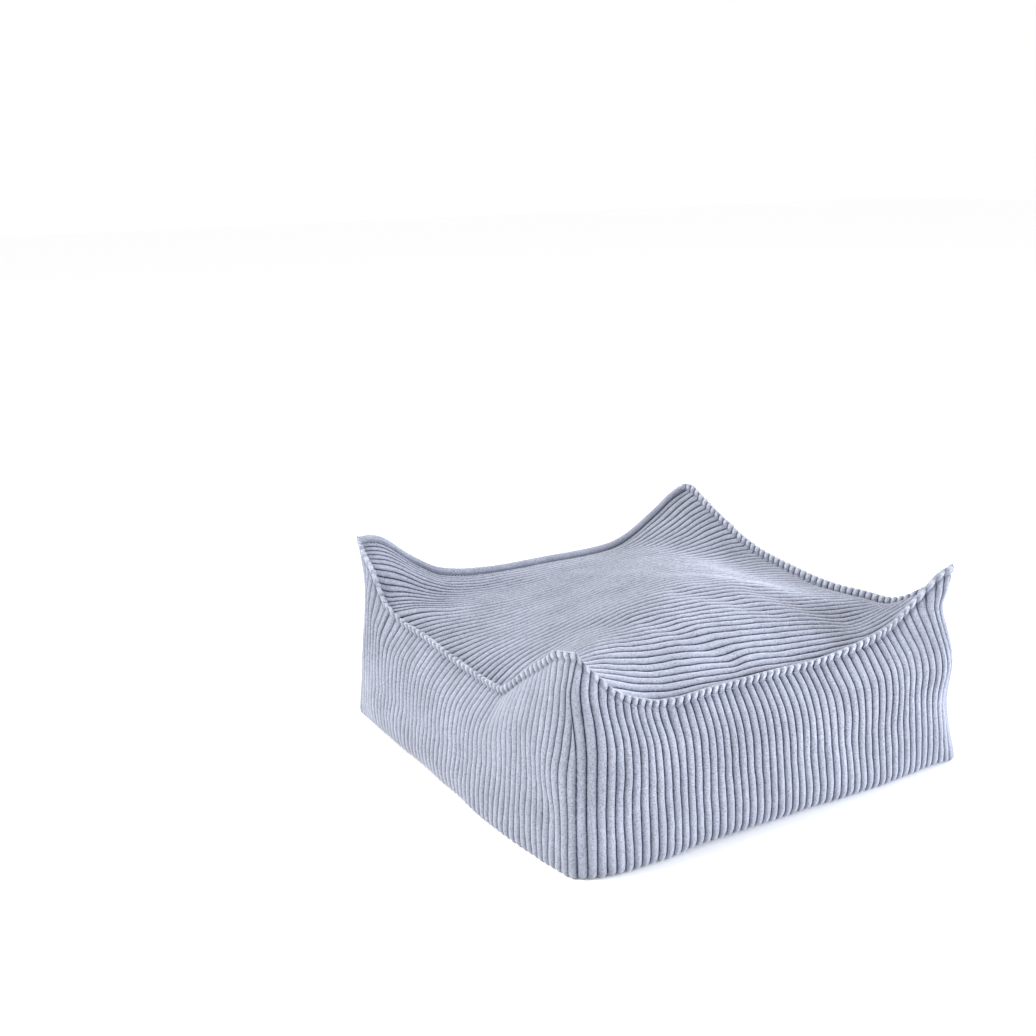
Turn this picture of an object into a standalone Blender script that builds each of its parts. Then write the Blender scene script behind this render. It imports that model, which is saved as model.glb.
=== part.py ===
"""A square bean bag footstool in wide-wale corduroy: one soft, filled solid.

Row frame: X along the front from left to right, Y towards the back, Z up, metres. The origin is on the floor
under the middle of the bounding box. All the form tables below are in fractions of the side length.
"""
import bmesh
import bpy
import numpy as np

OBJECT_NAME = "bean_bag_footstool"
NODE_NAME = "filled_bag"

# Driving dimensions
SIDE = 0.500  # nominal side of the square plan
WALES = 53  # corduroy wales across each panel
WALE_DEPTH = 0.0024  # from the crest of a wale down to its valley
FLANGE_RISE = 0.0085  # stitch line to the edge of the flange
FLANGE_PINCH = 0.0045  # thickness of the flange at its stitch line
FLANGE_KNOB = 0.0075  # thickness where the wales end in knobs
FLANGE_LEAN = 0.30  # outward lean of the flange for each unit of rise
STITCH_BITE = 0.0011  # how far the stitching draws the cloth in below the flange
LEVELS = (0.00, 0.09, 0.30, 0.55, 0.78, 0.90, 1.00)  # of the lines of points up a side, floor to stitch line
TOP_COLUMNS = 16  # facets along one wale of the top panel
LEAST_DEPTH = 0.1  # share of a wale's depth that is left where it is squeezed to nothing

# Sections up a side, floor to stitch line: the shares of its foot, its belly and the seam's inset there.
PROFILE_COLUMNS = ("rise", "foot", "belly", "tuck")
PROFILE = (
    (0.00, 1.00, 0.00, 0.00),
    (0.09, 0.60, 0.53, 0.00),
    (0.30, 0.15, 0.93, 0.00),
    (0.55, 0.00, 0.86, 0.07),
    (0.78, 0.00, 0.46, 0.44),
    (1.00, 0.00, 0.00, 1.00),
)

# Each side from one corner to the next, seen from outside and run anticlockwise from above: how high the
# stitch line is, how far it lies inside the nominal plane, and how far belly and foot stand out of it.
SIDE_COLUMNS = ("along", "seam_height", "inset", "belly", "foot")
SIDES = {
    "front": (
        (0.000, 0.437, 0.000, 0.000, 0.000),
        (0.050, 0.388, 0.006, 0.014, 0.018),
        (0.100, 0.340, 0.012, 0.025, 0.028),
        (0.160, 0.309, 0.021, 0.035, 0.028),
        (0.220, 0.290, 0.030, 0.039, 0.027),
        (0.350, 0.289, 0.040, 0.039, 0.022),
        (0.500, 0.285, 0.052, 0.037, 0.017),
        (0.650, 0.280, 0.062, 0.033, 0.015),
        (0.780, 0.295, 0.064, 0.028, 0.011),
        (0.870, 0.320, 0.062, 0.021, 0.000),
        (0.940, 0.376, 0.044, 0.012, -0.012),
        (0.972, 0.423, 0.026, 0.006, -0.008),
        (1.000, 0.445, 0.000, 0.000, 0.000),
    ),
    "right": (
        (0.000, 0.445, 0.000, 0.000, 0.000),
        (0.050, 0.388, 0.020, 0.014, 0.006),
        (0.130, 0.342, 0.040, 0.028, 0.013),
        (0.220, 0.333, 0.048, 0.036, 0.016),
        (0.350, 0.327, 0.054, 0.037, 0.017),
        (0.500, 0.337, 0.055, 0.036, 0.016),
        (0.650, 0.355, 0.050, 0.035, 0.016),
        (0.780, 0.388, 0.036, 0.030, 0.014),
        (0.900, 0.418, 0.016, 0.018, 0.008),
        (0.960, 0.438, 0.006, 0.009, 0.004),
        (1.000, 0.440, 0.000, 0.000, 0.000),
    ),
    "back": (
        (0.000, 0.440, 0.000, 0.000, 0.000),
        (0.060, 0.414, 0.010, 0.013, 0.006),
        (0.120, 0.373, 0.020, 0.024, 0.011),
        (0.220, 0.336, 0.036, 0.034, 0.015),
        (0.300, 0.322, 0.046, 0.036, 0.016),
        (0.500, 0.322, 0.055, 0.036, 0.016),
        (0.680, 0.322, 0.050, 0.036, 0.016),
        (0.800, 0.338, 0.036, 0.034, 0.015),
        (0.870, 0.378, 0.024, 0.026, 0.012),
        (0.940, 0.429, 0.010, 0.014, 0.006),
        (1.000, 0.447, 0.000, 0.000, 0.000),
    ),
    "left": (
        (0.000, 0.447, 0.000, 0.000, 0.000),
        (0.040, 0.388, 0.012, 0.014, 0.006),
        (0.080, 0.298, 0.028, 0.026, 0.010),
        (0.140, 0.262, 0.042, 0.038, 0.015),
        (0.250, 0.250, 0.052, 0.044, 0.020),
        (0.420, 0.235, 0.056, 0.046, 0.021),
        (0.600, 0.236, 0.054, 0.045, 0.032),
        (0.640, 0.248, 0.050, 0.042, 0.036),
        (0.760, 0.322, 0.034, 0.034, 0.035),
        (0.890, 0.394, 0.012, 0.019, 0.021),
        (0.935, 0.422, 0.004, 0.011, 0.013),
        (1.000, 0.437, 0.000, 0.000, 0.000),
    ),
}
SIDE_ORDER = ("front", "right", "back", "left")

# The edge between two sides, named for the side that it starts: the radius of its bend, and how far it
# stands outside the nominal corner, in X and in Y alike, from the floor to the tip of its ear.
CORNER_HEIGHTS = (0.00, 0.13, 0.25, 0.36, 0.40, 0.45)
CORNER_RADII = {
    "front": (0.032, 0.075, 0.085, 0.058, 0.046, 0.036),
    "right": (0.085, 0.080, 0.080, 0.060, 0.050, 0.040),
    "back": (0.045, 0.075, 0.080, 0.060, 0.048, 0.036),
    "left": (0.035, 0.075, 0.080, 0.060, 0.048, 0.036),
}
CORNER_REACH = {
    "front": (0.011, 0.027, 0.009, -0.005, -0.006, -0.007),
    "right": (0.032, 0.018, 0.012, -0.008, 0.003, 0.000),
    "back": (0.018, 0.026, 0.013, -0.002, 0.000, 0.001),
    "left": (0.023, 0.018, 0.012, 0.008, 0.010, 0.013),
}
CORNER_HOLD = 8.0  # how fast a corner's reach dies away along its sides
QUARTER = 0.25 * np.pi  # half of the turn round a corner

# Where the wales meet the seams: how far across its panel a wale is, and how far along the seam it comes.
SPACING_START = 0.45  # how far up a side the wales begin to spread to their places on the seam
SPACING_END = 0.85
TOP_SPACING_POWER = 3.0  # how fast the top's wales take up an even spacing, in from its seams
SEAM_WALES = {  # wale, along
    "front": ((0.0, 0.0), (0.23, 0.235), (0.50, 0.508), (0.69, 0.712), (0.82, 0.83), (1.0, 1.0)),
    "right": ((0.0, 0.0), (0.13, 0.09), (0.50, 0.50), (0.88, 0.92), (1.0, 1.0)),
    "back": ((0.0, 0.0), (0.18, 0.13), (0.50, 0.50), (0.82, 0.87), (1.0, 1.0)),
    "left": ((0.0, 0.0), (0.17, 0.096), (0.68, 0.623), (0.943, 0.968), (0.9811, 1.006), (1.0, 1.022)),
}
CUT_GAP = 0.0010  # what is left of a wale where the seam of a corner cuts it off
TOP_WALES = {  # wale, along
    "left": ((0.0, 0.0), (0.30, 0.377), (0.73, 0.904), (1.0, 1.0)),
    "right": ((0.0, 0.0), (0.27, 0.17), (0.76, 0.70), (1.0, 1.0)),
}

# Folds in the panels: the line each one runs along, how wide it is and how far it sinks.
CREASE_RISE = 0.30  # a side's height for the reach of its creases, in the unit of its length
SIDE_CREASES = (  # side, from along, from rise, to along, to rise, width, depth
    ("front", 0.05, 0.92, 0.22, 0.94, 0.030, 0.010),
    ("front", 0.60, 0.80, 0.72, 0.30, 0.030, 0.003),
    ("front", 0.88, 0.60, 0.99, 0.35, 0.030, 0.006),
    ("right", 0.30, 0.85, 0.42, 0.35, 0.030, 0.004),
    ("right", 0.70, 0.75, 0.62, 0.20, 0.035, 0.004),
    ("back", 0.35, 0.80, 0.45, 0.30, 0.035, 0.004),
    ("back", 0.72, 0.85, 0.68, 0.40, 0.030, 0.003),
    ("left", 0.64, 0.98, 0.70, 0.60, 0.030, 0.003),
    ("left", 0.80, 0.60, 0.93, 0.30, 0.030, 0.004),
    ("left", 0.25, 0.70, 0.35, 0.30, 0.040, 0.003),
)
TOP_CREASES = (  # from across, from deep, to across, to deep, width, depth
    (0.36, 0.27, 0.47, 0.09, 0.035, 0.010),
    (0.53, 0.36, 0.70, 0.19, 0.035, 0.009),
    (0.74, 0.30, 0.87, 0.12, 0.050, 0.012),
    (0.20, 0.45, 0.30, 0.30, 0.040, 0.005),
    (0.62, 0.55, 0.78, 0.42, 0.040, 0.005),
)

# The top panel without its ears: a row for each section from front to back, heights from left to right.
TOP_ACROSS = (0.00, 0.08, 0.18, 0.36, 0.54, 0.72, 0.88, 1.00)
TOP_SECTIONS = (
    (0.00, (0.262, 0.270, 0.276, 0.281, 0.281, 0.286, 0.297, 0.310)),
    (0.08, (0.262, 0.300, 0.318, 0.315, 0.312, 0.312, 0.312, 0.325)),
    (0.20, (0.258, 0.322, 0.364, 0.366, 0.360, 0.350, 0.340, 0.335)),
    (0.38, (0.250, 0.308, 0.342, 0.385, 0.390, 0.380, 0.344, 0.338)),
    (0.60, (0.243, 0.280, 0.299, 0.343, 0.372, 0.368, 0.342, 0.345)),
    (0.82, (0.246, 0.270, 0.285, 0.318, 0.340, 0.346, 0.342, 0.350)),
    (1.00, (0.255, 0.282, 0.300, 0.318, 0.316, 0.318, 0.325, 0.335)),
)
EAR_SPREAD = 0.42  # how far in from a seam its own height is still felt
EAR_POWER = 3.0

CLOTH_COLOUR = (0.55, 0.58, 0.70, 1.0)
CLOTH_ROUGHNESS = 0.95

OUTWARD = {
    "front": np.array((0.0, -1.0, 0.0)),
    "right": np.array((1.0, 0.0, 0.0)),
    "back": np.array((0.0, 1.0, 0.0)),
    "left": np.array((-1.0, 0.0, 0.0)),
}
UP = np.array((0.0, 0.0, 1.0))

# Valley and crest lines take turns across each panel, from the valley at its first edge.
STEPS = 2 * WALES
LINES = np.arange(STEPS) / STEPS
VALLEYS = np.arange(STEPS) % 2 == 0


def smooth(knots, values, at):
    """A smooth curve through values at the knots, read at many places, which may each have their own."""
    knots = np.asarray(knots, float)
    values = np.asarray(values, float)
    if values.ndim == 1:
        values = values.reshape((-1,) + (1,) * np.ndim(at))
    at = np.clip(at, knots[0], knots[-1])
    values = np.broadcast_to(values, (len(knots),) + np.shape(at))
    order = np.arange(len(knots))
    low = np.maximum(order - 1, 0)
    high = np.minimum(order + 1, len(knots) - 1)
    spans = (knots[high] - knots[low]).reshape((-1,) + (1,) * np.ndim(at))
    slopes = (values[high] - values[low]) / spans
    i = np.clip(np.searchsorted(knots, at) - 1, 0, len(knots) - 2)
    gap = knots[i + 1] - knots[i]

    def pick(table, k):
        return np.take_along_axis(table, k[None], 0)[0]

    start = pick(values, i)
    rise = pick(values, i + 1) - start
    before = pick(slopes, i) * gap
    after = pick(slopes, i + 1) * gap
    t = (at - knots[i]) / gap
    return start + t * (before + t * ((before + after - 2 * rise) * t + 3 * rise - 2 * before - after))


def read(table, names, key, name, at):
    """One named column of a table, read as a smooth curve over its key column."""
    keys = [row[names.index(key)] for row in table]
    values = [row[names.index(name)] for row in table]
    return smooth(keys, values, at)


def read_side(side, name, along):
    return read(SIDES[side], SIDE_COLUMNS, "along", name, along)


def next_side(side):
    return SIDE_ORDER[(SIDE_ORDER.index(side) + 1) % 4]


def near(distance, reach):
    """1 at no distance, falling away over the reach."""
    return np.exp(-((distance / reach) ** 2))


def line_distance(x, y, start, end):
    """How far places are from a straight line between two points."""
    dx = end[0] - start[0]
    dy = end[1] - start[1]
    t = np.clip(((x - start[0]) * dx + (y - start[1]) * dy) / (dx * dx + dy * dy), 0.0, 1.0)
    return np.hypot(x - start[0] - t * dx, y - start[1] - t * dy)


def corner_shares(along):
    return (1.0 - along) ** CORNER_HOLD, along**CORNER_HOLD


def turns_left(start_radius, end_radius, length, along):
    """The way between the corners of a side, and the turn left at each end to the middle of its corner."""
    total = length - (start_radius + end_radius) * (1.0 - QUARTER)
    start_turn = np.maximum(QUARTER - along * total / start_radius, 0.0)
    end_turn = np.maximum(QUARTER - (1.0 - along) * total / end_radius, 0.0)
    return total, start_turn, end_turn


def outward_at(side, along):
    """The level direction out of the bag at the seam, which turns round the corners."""
    radii = CORNER_RADII[side][-1], CORNER_RADII[next_side(side)][-1]
    _, start_turn, end_turn = turns_left(*radii, 1.0, along)
    turn = end_turn - start_turn
    forward = np.cross(UP, OUTWARD[side])
    return OUTWARD[side] * np.cos(turn)[..., None] + forward * np.sin(turn)[..., None]


def side_point(side, along, rise):
    """Points of a side panel at the level of its crests, in metres about the nominal middle."""
    height = rise * read_side(side, "seam_height", along)
    start_reach = smooth(CORNER_HEIGHTS, CORNER_REACH[side], height)
    end_reach = smooth(CORNER_HEIGHTS, CORNER_REACH[next_side(side)], height)
    start_share, end_share = corner_shares(along)
    out = start_reach * start_share + end_reach * end_share
    out = out + read_side(side, "foot", along) * read(PROFILE, PROFILE_COLUMNS, "rise", "foot", rise)
    out = out + read_side(side, "belly", along) * read(PROFILE, PROFILE_COLUMNS, "rise", "belly", rise)
    out = out - read_side(side, "inset", along) * read(PROFILE, PROFILE_COLUMNS, "rise", "tuck", rise)
    for crease_side, from_along, from_rise, to_along, to_rise, width, depth in SIDE_CREASES:
        if crease_side == side:
            ends = ((from_along, from_rise * CREASE_RISE), (to_along, to_rise * CREASE_RISE))
            out = out - depth * near(line_distance(along, rise * CREASE_RISE, *ends), width)
    start_radius = smooth(CORNER_HEIGHTS, CORNER_RADII[side], height)
    end_radius = smooth(CORNER_HEIGHTS, CORNER_RADII[next_side(side)], height)
    length = 1.0 + start_reach + end_reach
    total, start_turn, end_turn = turns_left(start_radius, end_radius, length, along)
    place = -0.5 - start_reach + start_radius * (1.0 - QUARTER) + along * total
    place = place + start_radius * (start_turn - np.sin(start_turn))
    place = place - end_radius * (end_turn - np.sin(end_turn))
    inward = start_radius * (1.0 - np.cos(start_turn)) + end_radius * (1.0 - np.cos(end_turn))
    forward = np.cross(UP, OUTWARD[side])
    level = forward * place[..., None] + OUTWARD[side] * (0.5 + out - inward)[..., None]
    return (level + UP * height[..., None]) * SIDE


def spread(table, wale):
    """The fraction along a seam where a wale meets it, for a wale counted as a fraction of the panel's."""
    return np.interp(wale, *np.transpose(table))


def wale_along(side, wale, rise):
    """The fraction along the side of a wale, even at the floor and cut off where a corner seam meets it."""
    t = np.clip((rise - SPACING_START) / (SPACING_END - SPACING_START), 0.0, 1.0)
    along = wale + (spread(SEAM_WALES[side], wale) - wale) * t * t * (3.0 - 2.0 * t)
    return np.clip(along, CUT_GAP * wale * WALES, 1.0 - CUT_GAP * (1.0 - wale) * WALES)


def sheltered(distance):
    return np.maximum(1.0 - distance / EAR_SPREAD, 0.0) ** EAR_POWER


def bare_top(across, deep):
    heights = np.stack([smooth(TOP_ACROSS, row[1], across) for row in TOP_SECTIONS])
    return smooth([row[0] for row in TOP_SECTIONS], heights, deep)


def seam_point(side, along):
    """The stitch line on the top panel's side of the flange."""
    return side_point(side, along, np.ones_like(along)) - outward_at(side, along) * FLANGE_PINCH


def top_point(across, deep):
    """Points of the top panel, blended in from its four seams."""
    zero = np.zeros_like(across)
    one = np.ones_like(across)
    seams = (
        (seam_point("front", across), 1.0 - deep, sheltered(deep), bare_top(across, zero)),
        (seam_point("back", 1.0 - across), deep, sheltered(1.0 - deep), bare_top(across, one)),
        (seam_point("left", 1.0 - deep), 1.0 - across, sheltered(across), bare_top(zero, deep)),
        (seam_point("right", deep), across, sheltered(1.0 - across), bare_top(one, deep)),
    )
    corners = (
        (seam_point("front", zero), 0, 2, bare_top(zero, zero)),
        (seam_point("front", one), 0, 3, bare_top(one, zero)),
        (seam_point("back", one), 1, 2, bare_top(zero, one)),
        (seam_point("back", zero), 1, 3, bare_top(one, one)),
    )
    point = np.zeros(across.shape + (3,))
    height = bare_top(across, deep)
    inside = 1.0 - near(np.minimum(np.minimum(across, 1.0 - across), np.minimum(deep, 1.0 - deep)), 0.05)
    for from_across, from_deep, to_across, to_deep, width, depth in TOP_CREASES:
        away = line_distance(across, deep, (from_across, from_deep), (to_across, to_deep))
        height = height - depth * near(away, width) * inside
    height = height * SIDE
    for seam, share, shelter, bare in seams:
        point += seam * share[..., None]
        height = height + (seam[..., 2] - bare * SIDE) * shelter
    for corner, first, second, bare in corners:
        point -= corner * (seams[first][1] * seams[second][1])[..., None]
        height = height - (corner[..., 2] - bare * SIDE) * (seams[first][2] * seams[second][2])
    point[..., 2] = height
    return point


def top_deep(across, wale):
    """How far back a wale of the top panel lies, which meets its left and right seams as they space it."""
    left = spread(TOP_WALES["left"], wale) - wale
    right = spread(TOP_WALES["right"], wale) - wale
    return wale + left * (1.0 - across) ** TOP_SPACING_POWER + right * across**TOP_SPACING_POWER


def valley_depth(places, valleys):
    """How deep each line lies: nothing on a crest, and less where its wale is squeezed."""
    room = np.clip(np.gradient(places, axis=0) * STEPS, LEAST_DEPTH, 1.0)
    return WALE_DEPTH * valleys * room


def side_ring(level):
    """The points of one line round the four sides, at a share of the way up them."""
    ring = []
    for side in SIDE_ORDER:
        along = wale_along(side, LINES, level)
        depth = valley_depth(along, VALLEYS) if level > 0.0 else np.zeros(STEPS)
        if level == 1.0:
            depth = depth + STITCH_BITE
        points = side_point(side, along, np.full(STEPS, level)) - outward_at(side, along) * depth[:, None]
        ring.extend(points)
    return ring


def flange_ring(lift, shift):
    """The points of a line round the flange, lifted from the stitch line and shifted inwards from it."""
    ring = []
    for side in SIDE_ORDER:
        along = wale_along(side, LINES, 1.0)
        outward = outward_at(side, along)
        depth = valley_depth(along, VALLEYS)
        rise = UP + outward * FLANGE_LEAN
        rise = rise * FLANGE_RISE * lift / np.linalg.norm(rise, axis=-1, keepdims=True)
        inset = depth + shift - depth * shift / FLANGE_KNOB
        ring.extend(side_point(side, along, np.ones(STEPS)) + rise - outward * inset[:, None])
    return ring


def loft(bm, rings):
    """Join closed rings of points into a tube and give back their vertices."""
    verts = [[bm.verts.new(point) for point in ring] for ring in rings]
    for lower, upper in zip(verts, verts[1:]):
        for i in range(len(lower)):
            j = (i + 1) % len(lower)
            bm.faces.new((lower[i], lower[j], upper[j], upper[i]))
    return verts


def zip_rows(bm, outer, outer_places, inner, inner_places):
    """Join two rows of vertices as a strip of triangles, by the places of the vertices along the strip."""
    i = 0
    j = 0
    while i < len(outer) - 1 or j < len(inner) - 1:
        outer_next = outer_places[i + 1] if i < len(outer) - 1 else np.inf
        inner_next = inner_places[j + 1] if j < len(inner) - 1 else np.inf
        if outer_next <= inner_next:
            bm.faces.new((outer[i], outer[i + 1], inner[j]))
            i += 1
        else:
            bm.faces.new((outer[i], inner[j + 1], inner[j]))
            j += 1


def add_top(bm, ring):
    """Close the top: rows of vertices along its wales, joined to the inner ring of the flange."""
    across = np.arange(1, TOP_COLUMNS) / TOP_COLUMNS
    u, wale = np.meshgrid(across, LINES[1:])
    deep = top_deep(u, wale)
    points = top_point(u, deep)
    points[..., 2] -= valley_depth(deep, VALLEYS[1:, None])
    rows = [[bm.verts.new(point) for point in row] for row in points]
    for near_row, far_row in zip(rows, rows[1:]):
        for i in range(len(across) - 1):
            bm.faces.new((near_row[i], near_row[i + 1], far_row[i + 1], far_row[i]))
    borders = {
        "front": (rows[0], across),
        "right": ([row[-1] for row in rows], spread(TOP_WALES["right"], LINES[1:])),
        "back": (rows[-1][::-1], 1.0 - across[::-1]),
        "left": ([row[0] for row in rows][::-1], 1.0 - spread(TOP_WALES["left"], LINES[1:])[::-1]),
    }
    for k, side in enumerate(SIDE_ORDER):
        seam = (ring + ring[:1])[k * STEPS : (k + 1) * STEPS + 1]
        seam_places = np.append(wale_along(side, LINES, 1.0), 1.0)
        zip_rows(bm, seam, seam_places, *borders[side])


def build_bag():
    """The whole bag as one closed mesh."""
    bm = bmesh.new()
    rings = [side_ring(level) for level in LEVELS]
    rings.append(flange_ring(1.0, 0.0))
    rings.append(flange_ring(1.0, FLANGE_KNOB))
    rings.append(flange_ring(0.0, FLANGE_PINCH))
    verts = loft(bm, rings)
    bm.faces.new(verts[0])
    add_top(bm, verts[-1])
    bmesh.ops.recalc_face_normals(bm, faces=bm.faces)
    return bm


def centre_on_origin(bm):
    """Move the mesh so that the middle of its bounding box stands over the origin."""
    for axis in range(2):
        middle = 0.5 * (min(v.co[axis] for v in bm.verts) + max(v.co[axis] for v in bm.verts))
        for vert in bm.verts:
            vert.co[axis] -= middle


def cloth_material():
    """Pale lavender-blue corduroy."""
    material = bpy.data.materials.new("corduroy")
    material.use_nodes = True
    shader = material.node_tree.nodes["Principled BSDF"]
    shader.inputs["Base Color"].default_value = CLOTH_COLOUR
    shader.inputs["Roughness"].default_value = CLOTH_ROUGHNESS
    shader.inputs["Metallic"].default_value = 0.0
    return material


def main():
    for old in list(bpy.data.objects):
        bpy.data.objects.remove(old, do_unlink=True)
    collection = bpy.data.collections.new(OBJECT_NAME)
    bpy.context.scene.collection.children.link(collection)
    bm = build_bag()
    centre_on_origin(bm)
    mesh = bpy.data.meshes.new(NODE_NAME)
    bm.to_mesh(mesh)
    bm.free()
    mesh.materials.append(cloth_material())
    collection.objects.link(bpy.data.objects.new(NODE_NAME, mesh))


main()
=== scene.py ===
"""Looks of the bean bag footstool: corduroy panels, stitched flange and thread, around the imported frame."""

import bpy
import numpy as np
from mathutils import Matrix, Vector


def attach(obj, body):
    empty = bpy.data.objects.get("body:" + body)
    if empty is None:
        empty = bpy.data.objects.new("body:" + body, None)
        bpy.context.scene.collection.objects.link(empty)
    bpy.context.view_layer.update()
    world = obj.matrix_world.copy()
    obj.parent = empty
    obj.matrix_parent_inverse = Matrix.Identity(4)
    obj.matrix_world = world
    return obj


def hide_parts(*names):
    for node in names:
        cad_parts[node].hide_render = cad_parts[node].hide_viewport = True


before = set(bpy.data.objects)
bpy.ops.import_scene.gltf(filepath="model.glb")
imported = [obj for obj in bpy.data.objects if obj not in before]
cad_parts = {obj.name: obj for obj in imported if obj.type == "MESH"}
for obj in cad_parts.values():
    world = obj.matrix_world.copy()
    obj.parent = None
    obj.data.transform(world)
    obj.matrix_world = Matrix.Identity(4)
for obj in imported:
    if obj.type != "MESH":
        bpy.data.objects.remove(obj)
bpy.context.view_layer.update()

CAD_NODE = "filled_bag"

# The form, close to the CAD's: lengths in metres, and the tables in fractions of the side.
SIDE = 0.500  # nominal side of the square plan
WALES = 53  # corduroy wales across each panel
FLANGE_RISE = 0.0097  # stitch line to the folded edge of the flange, pile included
FLANGE_PINCH = 0.0045  # thickness of the flange at its stitch line
FLANGE_KNOB = 0.0066  # thickness where the wales end in knobs
FLANGE_LEAN = 0.30  # outward lean of the flange for each unit of rise

PROFILE_COLUMNS = ("rise", "foot", "belly", "tuck")
PROFILE = (
    (0.00, 1.00, 0.00, 0.00),
    (0.09, 0.60, 0.53, 0.00),
    (0.30, 0.15, 0.93, 0.00),
    (0.55, 0.00, 0.86, 0.07),
    (0.78, 0.00, 0.46, 0.44),
    (1.00, 0.00, 0.00, 1.00),
)
SIDE_COLUMNS = ("along", "seam_height", "inset", "belly", "foot")
SIDES = {
    "front": (
        (0.000, 0.437, 0.000, 0.000, 0.000),
        (0.050, 0.388, 0.006, 0.014, 0.018),
        (0.100, 0.340, 0.012, 0.025, 0.028),
        (0.160, 0.309, 0.021, 0.035, 0.028),
        (0.220, 0.290, 0.030, 0.039, 0.027),
        (0.350, 0.289, 0.040, 0.039, 0.022),
        (0.500, 0.285, 0.052, 0.037, 0.017),
        (0.650, 0.280, 0.062, 0.033, 0.015),
        (0.780, 0.295, 0.064, 0.028, 0.011),
        (0.870, 0.320, 0.062, 0.021, 0.000),
        (0.940, 0.376, 0.044, 0.012, -0.012),
        (0.972, 0.423, 0.026, 0.006, -0.008),
        (1.000, 0.445, 0.000, 0.000, 0.000),
    ),
    "right": (
        (0.000, 0.445, 0.000, 0.000, 0.000),
        (0.050, 0.388, 0.020, 0.014, 0.006),
        (0.130, 0.342, 0.040, 0.028, 0.013),
        (0.220, 0.333, 0.048, 0.036, 0.016),
        (0.350, 0.327, 0.054, 0.037, 0.017),
        (0.500, 0.337, 0.055, 0.036, 0.016),
        (0.650, 0.355, 0.050, 0.035, 0.016),
        (0.780, 0.388, 0.036, 0.030, 0.014),
        (0.900, 0.418, 0.016, 0.018, 0.008),
        (0.960, 0.438, 0.006, 0.009, 0.004),
        (1.000, 0.440, 0.000, 0.000, 0.000),
    ),
    "back": (
        (0.000, 0.440, 0.000, 0.000, 0.000),
        (0.060, 0.420, 0.010, 0.013, 0.006),
        (0.120, 0.386, 0.020, 0.024, 0.011),
        (0.220, 0.339, 0.036, 0.034, 0.015),
        (0.300, 0.322, 0.046, 0.036, 0.016),
        (0.500, 0.322, 0.055, 0.036, 0.016),
        (0.680, 0.322, 0.050, 0.036, 0.016),
        (0.800, 0.338, 0.036, 0.034, 0.015),
        (0.870, 0.378, 0.024, 0.026, 0.012),
        (0.940, 0.434, 0.010, 0.014, 0.006),
        (1.000, 0.440, 0.000, 0.000, 0.000),
    ),
    "left": (
        (0.000, 0.440, 0.000, 0.000, 0.000),
        (0.040, 0.388, 0.012, 0.014, 0.006),
        (0.080, 0.298, 0.028, 0.026, 0.010),
        (0.140, 0.262, 0.042, 0.038, 0.015),
        (0.250, 0.250, 0.052, 0.044, 0.020),
        (0.420, 0.235, 0.056, 0.046, 0.021),
        (0.600, 0.236, 0.054, 0.045, 0.032),
        (0.640, 0.248, 0.050, 0.042, 0.036),
        (0.760, 0.322, 0.034, 0.034, 0.035),
        (0.890, 0.394, 0.012, 0.019, 0.021),
        (0.935, 0.422, 0.004, 0.011, 0.013),
        (1.000, 0.437, 0.000, 0.000, 0.000),
    ),
}
SIDE_ORDER = ("front", "right", "back", "left")
CORNER_HEIGHTS = (0.00, 0.13, 0.25, 0.36, 0.40, 0.45)
CORNER_RADII = {
    "front": (0.032, 0.075, 0.085, 0.058, 0.046, 0.036),
    "right": (0.085, 0.080, 0.080, 0.060, 0.050, 0.040),
    "back": (0.045, 0.075, 0.080, 0.060, 0.048, 0.036),
    "left": (0.035, 0.075, 0.080, 0.060, 0.048, 0.036),
}
CORNER_REACH = {
    "front": (0.011, 0.027, 0.009, -0.005, -0.006, -0.007),
    "right": (0.032, 0.014, 0.019, -0.006, -0.003, 0.000),
    "back": (0.018, 0.026, 0.013, -0.002, 0.000, 0.001),
    "left": (0.023, 0.018, 0.012, 0.008, 0.010, 0.013),
}
CORNER_WANDER = {  # how far the seam of each corner wanders round it, towards the next side
    "front": (0.000, 0.000, -0.006, -0.018, -0.012, 0.000),
    "right": (0.000, 0.004, -0.004, 0.003, 0.002, 0.000),
    "back": (0.000, -0.004, 0.003, 0.000, 0.000, 0.000),
    "left": (0.000, 0.003, -0.004, 0.002, 0.000, 0.000),
}
CORNER_HOLD = 8.0  # how fast a corner's reach dies away along its sides
WANDER_HOLD = 12.0  # how fast its seam's wander does
QUARTER = 0.25 * np.pi  # half of the turn round a corner
SPACING_START = 0.45  # how far up a side the wales begin to spread to their places on the seam
SPACING_END = 0.85  # and how far up they have reached them
TOP_SPACING_POWER = 3.0  # how fast the top's wales take up an even spacing, in from its seams
SEAM_WALES = {  # wale, along
    "front": ((0.0, 0.0), (0.23, 0.235), (0.50, 0.508), (0.69, 0.712), (0.80, 0.83), (1.0, 1.0)),
    "right": ((0.0, 0.0), (0.13, 0.09), (0.50, 0.50), (0.88, 0.92), (1.0, 1.0)),
    "back": ((0.0, 0.0), (0.18, 0.13), (0.50, 0.50), (0.82, 0.87), (1.0, 1.0)),
    "left": ((0.0, 0.0), (0.17, 0.096), (0.68, 0.623), (0.943, 0.968), (0.9811, 1.006), (1.0, 1.022)),
}
CUT_GAP = 0.0010  # what is left of a wale where the seam of a corner cuts it off
TOP_WALES = {  # wale, along
    "left": ((0.0, 0.0), (0.30, 0.377), (0.73, 0.904), (1.0, 1.0)),
    "right": ((0.0, -0.10), (0.094, 0.0), (0.27, 0.17), (0.76, 0.70), (1.0, 1.0)),
}
CREASE_RISE = 0.30  # a side's height for the reach of its creases, in the unit of its length
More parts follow.
